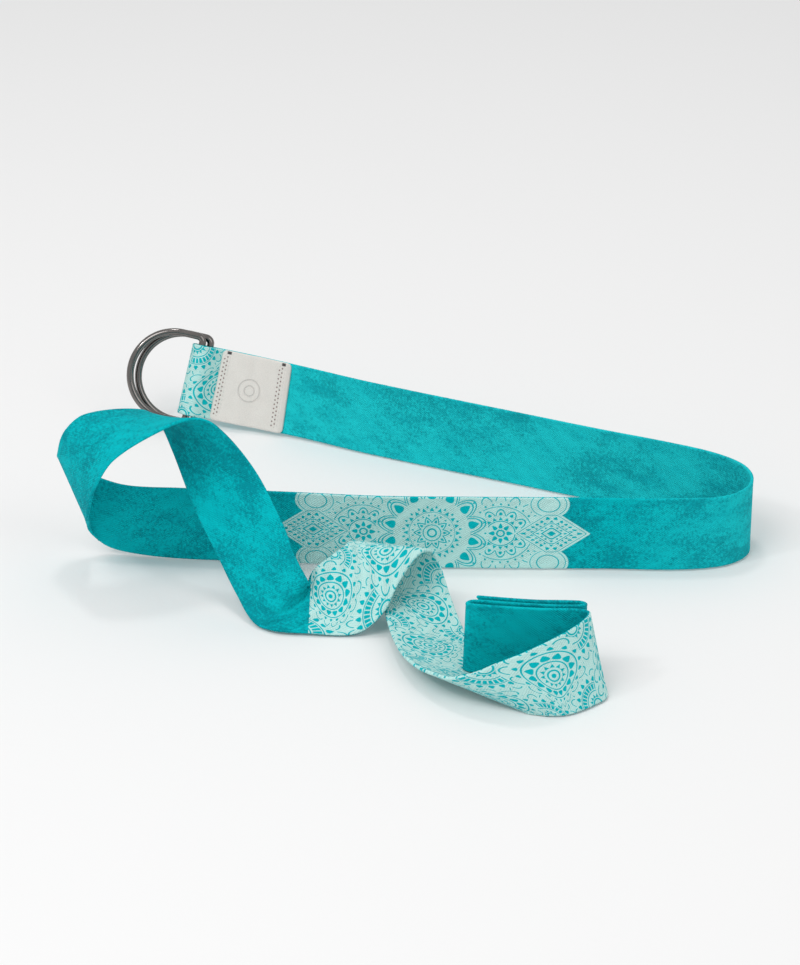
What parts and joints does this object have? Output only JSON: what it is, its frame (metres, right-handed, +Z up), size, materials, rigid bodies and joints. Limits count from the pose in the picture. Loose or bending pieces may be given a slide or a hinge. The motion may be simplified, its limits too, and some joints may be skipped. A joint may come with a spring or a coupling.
{
  "type": "stretching strap",
  "caption": "Flat woven stretching strap, laid out in an open bend with its tail loosely rolled, and D-rings held in a sewn loop under a stitched patch.",
  "frame": {"origin": "on the floor, under the centre of the bounding box's footprint", "axes": "+X to the right along the front run, +Y away from the front, +Z up"},
  "size_m": [0.3358, 0.3347, 0.0896],
  "materials": {
    "webbing": "woven polyester-cotton webbing, mottled teal with a pale medallion print",
    "ring_metal": "polished dark nickel plate",
    "patch": "off-white grained leatherette",
    "dark_thread": "dense dark bar tack",
    "thread": "off-white sewing thread"
  },
  "bodies": {
    "strap": {"webbing": "webbing", "patch": "patch", "bar_tacks": "dark_thread", "patch_stitches_ring_side": "thread", "patch_stitches_strap_side": "thread"},
    "front_ring": {"ring_front": "ring_metal"},
    "back_ring": {"ring_back": "ring_metal"}
  },
  "joints": [
    {"name": "front_ring_swing", "type": "hinge", "parent": "strap", "child": "front_ring", "pos_m": [-0.11321, 0.15291, 0.02551], "axis": [0.2276, 0.3453, 0.9105], "range_deg": [0, 120]},
    {"name": "back_ring_swing", "type": "hinge", "parent": "strap", "child": "back_ring", "pos_m": [-0.1092, 0.15637, 0.02319], "axis": [0.2276, 0.3453, 0.9105], "range_deg": [-60, 0]}
  ]
}
